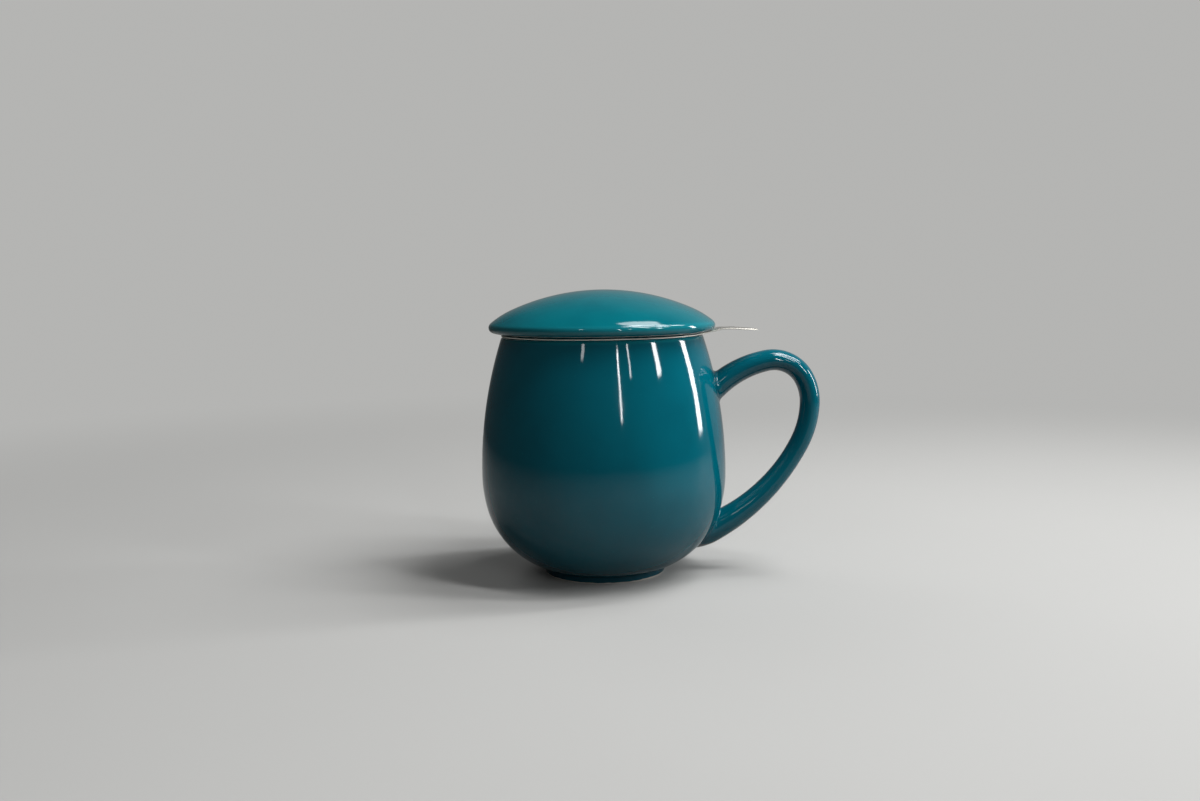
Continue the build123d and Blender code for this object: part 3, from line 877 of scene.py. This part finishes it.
def rim_patches(sizes):
    """The flange and collar as a turned sheet, and the tab as a top and an underside grid whose rows start on
    the flange's edge and shrink to the tab's tip, with a cut edge along both sides. All of it is laid out
    flat and then lifted by the tab's height."""
    half_sheet = sizes.rim_sheet / 2
    middle = sizes.flange_top - half_sheet
    edge = sizes.flange_radius - half_sheet
    collar = sizes.collar_radius - half_sheet
    bend = sizes.bend_radius + half_sheet
    line = join(
        straight((edge, middle), (collar + bend, middle)),
        arc((collar + bend, middle - bend), bend, pi / 2, pi, 0.15 * MM),
        straight((collar, middle - bend), (collar, sizes.collar_end_height + half_sheet)),
    )

    half_width = sizes.tab_width / 2 - half_sheet
    root = sizes.tab_root_round + half_sheet
    root_x = sqrt((edge + root) ** 2 - (half_width + root) ** 2)
    root_angle = atan2(half_width + root, root_x)
    tip_x = sizes.tab_end - half_sheet - half_width
    spacing = 0.35 * MM
    outline = join(
        arc((root_x, half_width + root), root, root_angle - pi, -pi / 2, spacing),
        straight((root_x, half_width), (tip_x, half_width), spacing),
        arc((tip_x, 0), half_width, pi / 2, 0, spacing),
    )
    outline[-1, 1] = 0
    outward = left_of(outline)
    outward[0], outward[-1] = (cos(root_angle), sin(root_angle)), (1, 0)

    across = np.linspace(-root_angle, root_angle, TAB_COLUMNS + 1)
    rest = np.linspace(root_angle, 2 * pi - root_angle, TURNS + 1)
    bulge = edge * (1 - cos(root_angle))
    fade_length = 3 * bulge
    fade = np.clip(1 - (outline[:, :1] - outline[0, 0]) / fade_length, 0, 1) ** 2
    bow = (np.cos(across) - cos(root_angle)) / (1 - cos(root_angle))
    x = outline[:, :1] + bulge * fade * bow
    y = outline[:, 1:] * np.sin(across) / sin(root_angle)
    faces = [np.stack([x, y, 0 * x + middle + side * half_sheet], -1) for side in (1, -1)]

    out, up = (value[:, None] for value in cut_edge())
    blunt = outline + half_sheet * out[..., None] * outward
    height = middle + half_sheet * up + 0 * blunt[..., 0]
    edges = [np.stack([blunt[..., 0], mirror * blunt[..., 1], height], -1) for mirror in (1, -1)]

    sheet = turned(sheet_section(line, sizes.rim_sheet), rest)
    sheet_under_tab = turned(sheet_section(line, sizes.rim_sheet, closed=False), across)
    patches = [sheet, sheet_under_tab, *faces, *edges]
    for patch in patches:
        patch[..., 2] += np.where(patch[..., 0] > sizes.collar_radius, tab_height(sizes, patch[..., 0]), 0)
    return patches


def sieve_cells(edges, centres, hole_radius, place):
    """Cells of a perforated sheet, each a ring of four rows: the cell's edge and the hole's on one face, then
    the hole's and the cell's edge on the other. A hole's points lie from its centre towards the edge's
    points."""
    away = edges - centres[:, None]
    holes = centres[:, None] + away * (hole_radius / np.linalg.norm(away, axis=-1, keepdims=True))
    return np.stack([place(edges, 0), place(holes, 0), place(holes, 1), place(edges, 1)], axis=1)


def wall_patches(sizes):
    """The wall rolled from a flat sheet: staggered rows of holes, plain where the seam is lapped, between two
    plain bands, and the lapped strip outside it. Flat distances along the sheet become angles."""
    outer, inner = sizes.wall_radius, sizes.wall_radius - sizes.wall_sheet
    pitch = 2 * pi * outer / sizes.wall_columns
    row_pitch = pitch * sqrt(3) / 2

    def place(flat, face):
        return polar(inner if face else outer, flat[..., 0] / outer, flat[..., 1])

    row, column = (v.ravel() for v in np.indices((sizes.wall_rows, sizes.wall_columns)))
    stagger, heights = 0.5 * (row % 2), sizes.wall_rows_bottom + (row + 0.5) * row_pitch
    centres = np.stack([(column + stagger) * pitch, heights], -1)
    corner = np.array([(1, 0), (1, 1), (0, 1), (-1, 1), (-1, 0), (-1, -1), (0, -1), (1, -1), (1, 0)])
    edges = centres[:, None] + corner * (pitch / 2, row_pitch / 2)
    from_seam = np.abs(centres[:, 0] - pi * outer)
    plain = from_seam < sizes.seam_width / 2 + pitch
    cells = sieve_cells(edges[~plain], centres[~plain], sizes.hole_radius, place)
    middles = np.repeat(centres[plain][:, None], len(corner), 1)
    whole = [np.stack([place(edges[plain], face), place(middles, face)], axis=1) for face in (0, 1)]

    angles = np.arange(2 * sizes.wall_columns + 1) * pitch / 2 / outer
    top_row = sizes.wall_rows_bottom + sizes.wall_rows * row_pitch
    round_radius, spacing = sizes.wall_sheet / 2, 1.2 * MM
    bands = []
    stretches = ((top_row, sizes.wall_top_height), (sizes.wall_rows_bottom, sizes.basket_bottom_height))
    for start, end in stretches:
        upward = 1 if end > start else -1
        centre = (inner + round_radius, end - upward * round_radius)
        outside = straight((outer, start), (outer, centre[1]), spacing)
        inside = straight((inner, centre[1]), (inner, start), spacing)
        edge = arc(centre, round_radius, 0, upward * pi, 0.1 * MM)
        bands.append(turned(join(outside, edge, inside), angles))

    return [cells, *whole, *bands, lap_strip(sizes)]


def lap_strip(sizes):
    """The lapped strip of the wall's seam: a rounded bar section carried up the wall, closed at both ends. It
    is sunk a little into the wall."""
    thick, half = sizes.wall_sheet, sizes.seam_width / 2
    corner, sunk, coarse, fine = 0.45 * thick, -0.02 * MM, 0.3 * MM, 0.06 * MM
    outline = join(
        (-half, sunk),
        (-half, thick - corner),
        arc((-half + corner, thick - corner), corner, pi, pi / 2, fine),
        straight((-half + corner, thick), (half - corner, thick), coarse),
        arc((half - corner, thick - corner), corner, pi / 2, 0, fine),
        (half, sunk),
        straight((half, sunk), (-half, sunk), coarse),
    )
    outline = np.concatenate([outline, outline[:1]])
    angle, radius = pi + outline[:, 0] / sizes.wall_radius, sizes.wall_radius + outline[:, 1]
    heights = np.linspace(sizes.basket_bottom_height, sizes.seam_end_height, SEAM_ROWS)[:, None]
    bar = polar(radius, angle, heights)
    caps = [np.repeat(bar[end, :-1].mean(0)[None, None], len(angle), 1) for end in (0, -1)]
    return np.concatenate([caps[0], bar, caps[1]])


def floor_patches(sizes):
    """The floor: six-sided cells in rings about one in the middle, drawn out so that each ring is a circle,
    and the plain margin, bend and hem turned about the axis. Ring k has six times k holes."""
    rings = sizes.floor_rings
    top = sizes.basket_bottom_height + sizes.floor_hem
    half_sheet, bend = sizes.floor_sheet / 2, sizes.floor_bend_radius
    hem = sizes.wall_radius - sizes.wall_sheet - half_sheet
    margin, plain_rings, outer_cells, rounding = 0.3 * MM, 0.75, 0.2, 1e-9
    flat_radius = hem - bend - margin
    pitch = flat_radius / (rings + plain_rings)

    steps = np.arange(-rings, rings + 1)
    q, r = (v.ravel() for v in np.meshgrid(steps, steps))
    inside = np.abs(q + r) <= rings
    lattice = np.stack([q[inside], r[inside]], -1).astype(float)
    corners = np.array([(1, 1), (-1, 2), (-2, 1), (-1, -1), (1, -2), (2, -1), (1, 1)]) / 3
    outline = np.empty((2 * len(corners) - 1, 2))
    outline[::2], outline[1::2] = corners, (corners[1:] + corners[:-1]) / 2

    def to_disc(axial):
        """Rings of six sides made round: the distance is the ring's number, and the share of the way along a
        side becomes the same share of a sixth of a turn. The outer cells reach to the flat's edge."""
        q, r = np.moveaxis(axial, -1, 0)
        reach = np.abs([q, r, q + r]).max(0)
        x, y = q + r / 2, r * sqrt(3) / 2
        angle = np.arctan2(y, x) % (2 * pi)
        sixth = np.floor(angle / (pi / 3) + rounding)
        offset = np.hypot(x, y) * np.sin(angle - sixth * pi / 3)
        around = (sixth + offset / (sqrt(3) / 2) / np.maximum(reach, rounding)) * pi / 3
        return polar(np.where(reach > rings + outer_cells, flat_radius, reach * pitch), around)

    centres = to_disc(lattice)
    edges = to_disc(lattice[:, None] + outline)

    def place(flat, face):
        height = np.full(flat.shape[:-1] + (1,), top - (sizes.floor_sheet if face else 0))
        return np.concatenate([flat, height], -1)

    cells = sieve_cells(edges, centres, sizes.hole_radius, place)
    rim = edges.reshape(-1, 2)
    rim = rim[np.hypot(*rim.T) > flat_radius - WELD]
    angles = np.unique(np.round(np.arctan2(rim[:, 1], rim[:, 0]) % (2 * pi), 9))
    angles = angles[angles < 2 * pi - 10 * rounding]
    angles = np.append(angles, angles[0] + 2 * pi)
    line = join(
        (flat_radius, top - half_sheet),
        arc((hem - bend, top - half_sheet - bend), bend, pi / 2, 0, 0.2 * MM),
        straight((hem, top - half_sheet - bend), (hem, sizes.basket_bottom_height + half_sheet)),
    )
    return [cells, turned(sheet_section(line, sizes.floor_sheet, closed=False), angles)]


# ---------------------------------------------------------------- studio

# name, turn to the right from the camera's side and lift above level in degrees, distance, width and height
# in metres, brightness, whether it shows in gloss
LIGHTS = (
    ("left_window", -22, 34, 1.10, 0.06, 0.28, 7.0, True),
    ("low_window", 17, 20, 1.10, 0.032, 0.46, 28.0, True),
    ("slim_window", 29, 27, 1.10, 0.035, 0.22, 14.0, True),
    ("middle_window", 61, 26, 1.10, 0.10, 0.30, 26.0, True),
    ("side_window", 102, 12, 0.90, 0.11, 0.44, 20.0, True),
    ("high_window_one", 54, 57, 1.15, 0.125, 0.85, 18.0, True),
    ("high_window_two", 80, 57, 1.15, 0.14, 0.85, 18.0, True),
    ("high_window_three", 107, 57, 1.15, 0.125, 0.85, 18.0, True),
    ("roof_window", 125, 68, 1.15, 0.30, 0.45, 7.0, True),
    ("back_softbox", 218, 38, 1.30, 0.80, 0.80, 1.3, False),
)
AIM = (0, 0, 0.06)  # the point that the lights face


def placed(right, up, back, place):
    """The matrix of an object with these three directions as its axes, at a place."""
    rows = np.column_stack([right, up, back, place])
    return Matrix([*rows.tolist(), (0, 0, 0, 1)])


def add_light(name, turned_right, lift, distance, width, height, brightness, glossy):
    """A rectangular light that faces the mug, with its height upright. It is brightest in the middle and
    fades out towards its edges, as a softbox or a curtained window does."""
    lamp = bpy.data.lights.new(name, "AREA")
    lamp.shape, lamp.size, lamp.size_y = "RECTANGLE", width, height
    lamp.energy = brightness * pi * width * height
    lamp.use_nodes = True
    tree = lamp.node_tree
    tree.nodes.clear()
    across = axes(tree, shader_node(tree, "ShaderNodeNewGeometry").outputs["Parametric"])
    fade, middle, edge, bright = 1.0, 0.5, 0.5, 0.38  # edge and bright are shares of a side, from its middle
    for axis in "XY":
        off = math_node(tree, "ABSOLUTE", minus(tree, across[axis], middle))
        fade = times(tree, span(tree, off, edge, bright), fade)
    glow = shader_node(tree, "ShaderNodeEmission", {"Strength": fade})
    shader_node(tree, "ShaderNodeOutputLight", {"Surface": glow.outputs[0]})

    turn_right, rise = radians(turned_right), radians(lift)
    back = np.array((sin(turn_right) * cos(rise), -cos(turn_right) * cos(rise), sin(rise)))
    side = unit(np.cross((0, 0, 1), back))
    light = bpy.data.objects.new(name, lamp)
    light.matrix_world = placed(side, np.cross(back, side), back, AIM + distance * back)
    light.visible_camera, light.visible_glossy = False, glossy
    bpy.context.scene.collection.objects.link(light)


def add_floor(settings):
    """A round floor of rings of points about the mug's axis. Towards its edge it takes on the background's
    own tone, so that no horizon is seen, while it keeps the shadow near the mug."""
    rings = np.array([(0, 0), (0.3, 0), (1, 0), (4, 0), (20, 0)])
    mesh = build_mesh("studio_floor", [turned(rings, FULL_TURN)[::-1]])
    material, tree, place = new_material("pale_floor")
    darker, cast = ([part * value for value in settings.surround] for part in (0.97, settings.bounce))
    tone = blend(tree, noise(tree, place, 9, 4), settings.surround, darker)
    seen, strength = seen_surround(tree, place, settings)
    camera = shader_node(tree, "ShaderNodeLightPath").outputs["Is Camera Ray"]
    shown = math_node(tree, "MAXIMUM", camera, times(tree, seen, settings.near_side))
    tone = blend(tree, shown, cast, tone)
    near = shader_node(tree, "ShaderNodeBsdfPrincipled", {"Base Color": tone, "Roughness": 0.7})
    far = shader_node(tree, "ShaderNodeEmission", {"Color": (*settings.surround, 1), "Strength": strength})
    away = shader_node(tree, "ShaderNodeVectorMath", {0: place}, operation="LENGTH").outputs["Value"]
    factor = times(tree, span(tree, away, 0.2 * settings.floor_edge, settings.floor_edge), seen)
    shader = shader_node(tree, "ShaderNodeMixShader", {0: factor, 1: near.outputs[0], 2: far.outputs[0]})
    shader_node(tree, "ShaderNodeOutputMaterial", {"Surface": shader.outputs[0]})
    mesh.materials.append(material)
    floor = bpy.data.objects.new("studio_floor", mesh)
    bpy.context.scene.collection.objects.link(floor)


def seen_surround(tree, direction, settings):
    """Whether a ray sees the surround, from the camera, in gloss or through glass, and how bright it is
    there. Gloss shows it pale towards the windows and dimmer towards the room's far side."""
    path = shader_node(tree, "ShaderNodeLightPath").outputs
    gloss = math_node(tree, "MAXIMUM", path["Is Glossy Ray"], path["Is Transmission Ray"])
    side = (sin(settings.window_side), -cos(settings.window_side), 0)
    heading = shader_node(tree, "ShaderNodeVectorMath", {0: direction}, operation="NORMALIZE").outputs[0]
    facing = shader_node(tree, "ShaderNodeVectorMath", {0: heading, 1: side}, operation="DOT_PRODUCT")
    shade = span(tree, facing.outputs["Value"], 0.5, 1.0, settings.far_side, settings.near_side)
    strength = plus(tree, path["Is Camera Ray"], times(tree, gloss, shade))
    return math_node(tree, "MAXIMUM", path["Is Camera Ray"], gloss), strength


def add_surround(scene, settings):
    """A plain world that is pale where it is seen, straight, in gloss or through glass, and casts a softer
    light."""
    world = bpy.data.worlds.new("studio_surround")
    world.use_nodes = True
    tree = world.node_tree
    tree.nodes.clear()
    direction = shader_node(tree, "ShaderNodeTexCoord").outputs["Generated"]
    seen, strength = seen_surround(tree, direction, settings)
    strength = plus(tree, strength, times(tree, minus(tree, 1.0, seen), settings.ambient))
    glow = shader_node(tree, "ShaderNodeBackground", {"Color": (*settings.surround, 1), "Strength": strength})
    shader_node(tree, "ShaderNodeOutputWorld", {"Surface": glow.outputs[0]})
    scene.world = world


def add_camera(scene, settings):
    """The camera from its place, yaw, pitch and roll, with a lens as long as the focal length in pixels."""
    camera = bpy.data.cameras.new("studio_camera")
    camera.sensor_fit, camera.sensor_width = "HORIZONTAL", 36.0
    camera.lens = camera.sensor_width * settings.focal_pixels / IMAGE_WIDTH
    camera.clip_start = 0.01
    yaw, pitch, roll = settings.camera_yaw, settings.camera_pitch, settings.camera_roll
    forward = np.array((sin(yaw) * cos(pitch), cos(yaw) * cos(pitch), -sin(pitch)))
    right = np.array((cos(yaw), -sin(yaw), 0))
    up = np.cross(right, forward)
    right, up = right * cos(roll) + up * sin(roll), up * cos(roll) - right * sin(roll)
    place = (0, -settings.camera_distance, settings.camera_height)
    view = bpy.data.objects.new("studio_camera", camera)
    view.matrix_world = placed(right, up, -forward, place)
    scene.collection.objects.link(view)
    scene.camera = view


# ---------------------------------------------------------------- operators


class ADD_OT_mug_bowl(bpy.types.Operator):
    """Adds the glazed bowl with its foot ring and lip"""

    bl_idname = "tea_mug.bowl"
    bl_label = "Mug Bowl"

    def execute(self, context):
        sizes, finishes = context.scene.tea_mug_bowl, context.scene.tea_mug_finishes
        surface = glazed_turning(bowl_section(sizes), 0.4 * MM)
        material = glaze_material("teal_glaze_bowl", finishes, finishes.glaze, sizes.glaze_line)
        add_piece("mug_bowl", [surface], material, "mug", "mug_body")
        return {"FINISHED"}


class ADD_OT_mug_handle(bpy.types.Operator):
    """Adds the bow handle with its slip joints drawn out on the bowl"""

    bl_idname = "tea_mug.handle"
    bl_label = "Bow Handle"

    def execute(self, context):
        sizes, finishes = context.scene.tea_mug_handle, context.scene.tea_mug_finishes
        surface = handle_grid(sizes, BowlShape(context.scene.tea_mug_bowl))
        never_bare = -1.0  # a height far below the table
        material = glaze_material("teal_glaze_handle", finishes, finishes.glaze, never_bare)
        add_piece("bow_handle", [surface], material, "mug", "mug_handle")
        return {"FINISHED"}


class ADD_OT_mug_lid(bpy.types.Operator):
    """Adds the domed lid with its locating ring"""

    bl_idname = "tea_mug.lid"
    bl_label = "Lid"

    def execute(self, context):
        sizes, finishes = context.scene.tea_mug_lid, context.scene.tea_mug_finishes
        surface = glazed_turning(lid_section(sizes, context.scene.tea_mug_infuser.flange_top), 0.35 * MM)
        bare_below = sizes.ring_end_height + sizes.glaze_gap
        # The lid's glaze holds painted light: lighter than the bowl's, for a lid lit from above
        material = glaze_material("teal_glaze_lid", finishes, finishes.lid_glaze, bare_below)
        add_piece("domed_lid", [surface], material, "lid", "lid")
        return {"FINISHED"}


class ADD_OT_infuser(bpy.types.Operator):
    """Adds the steel infuser: the rim with its finger tab, the perforated wall and the perforated floor"""

    bl_idname = "tea_mug.infuser"
    bl_label = "Infuser"

    def execute(self, context):
        sizes, finishes = context.scene.tea_mug_infuser, context.scene.tea_mug_finishes
        steel = steel_material("polished_steel", finishes, sizes.collar_radius)
        for name, patches, node in (
            ("infuser_rim_and_tab", rim_patches(sizes), "infuser_rim"),
            ("infuser_sieve_wall", wall_patches(sizes), "infuser_wall"),
            ("infuser_sieve_floor", floor_patches(sizes), "infuser_floor"),
        ):
            add_piece(name, patches, steel, "infuser", node)
        return {"FINISHED"}


class ADD_OT_tea_mug_studio(bpy.types.Operator):
    """Adds the pale floor, the soft lights and the camera"""

    bl_idname = "tea_mug.studio"
    bl_label = "Studio"

    def execute(self, context):
        settings = context.scene.tea_mug_studio
        add_floor(settings)
        add_surround(context.scene, settings)
        for light in LIGHTS:
            add_light(*light)
        add_camera(context.scene, settings)
        context.scene.view_settings.view_transform = "Standard"
        return {"FINISHED"}


# ---------------------------------------------------------------- panel and registration


class VIEW3D_PT_tea_mug(bpy.types.Panel):
    """Lists the pieces and their sizes in the sidebar"""

    bl_label = "Tea Mug"
    bl_space_type = "VIEW_3D"
    bl_region_type = "UI"
    bl_category = "Tea Mug"

    def draw(self, context):
        for step in STEPS:
            box = self.layout.box()
            box.operator(f"tea_mug.{step}")
            settings = getattr(context.scene, f"tea_mug_{step}")
            for name in settings.__annotations__:
                box.prop(settings, name)
        for name in Finishes.__annotations__:
            self.layout.prop(context.scene.tea_mug_finishes, name)


GROUPS = {
    "tea_mug_bowl": BowlSizes,
    "tea_mug_handle": HandleSizes,
    "tea_mug_lid": LidSizes,
    "tea_mug_infuser": InfuserSizes,
    "tea_mug_finishes": Finishes,
    "tea_mug_studio": StudioSettings,
}
STEPS = ("studio", "bowl", "handle", "lid", "infuser")
CLASSES = (
    *GROUPS.values(),
    ADD_OT_mug_bowl,
    ADD_OT_mug_handle,
    ADD_OT_mug_lid,
    ADD_OT_infuser,
    ADD_OT_tea_mug_studio,
    VIEW3D_PT_tea_mug,
)


def register():
    for kind in CLASSES:
        bpy.utils.register_class(kind)
    for name, group in GROUPS.items():
        setattr(bpy.types.Scene, name, PointerProperty(type=group))


def unregister():
    for name in GROUPS:
        delattr(bpy.types.Scene, name)
    for kind in reversed(CLASSES):
        bpy.utils.unregister_class(kind)


def main():
    """Registers the add-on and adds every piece."""
    register()
    for step in STEPS:
        getattr(bpy.ops.tea_mug, step)()


if __name__ == "__main__":
    main()
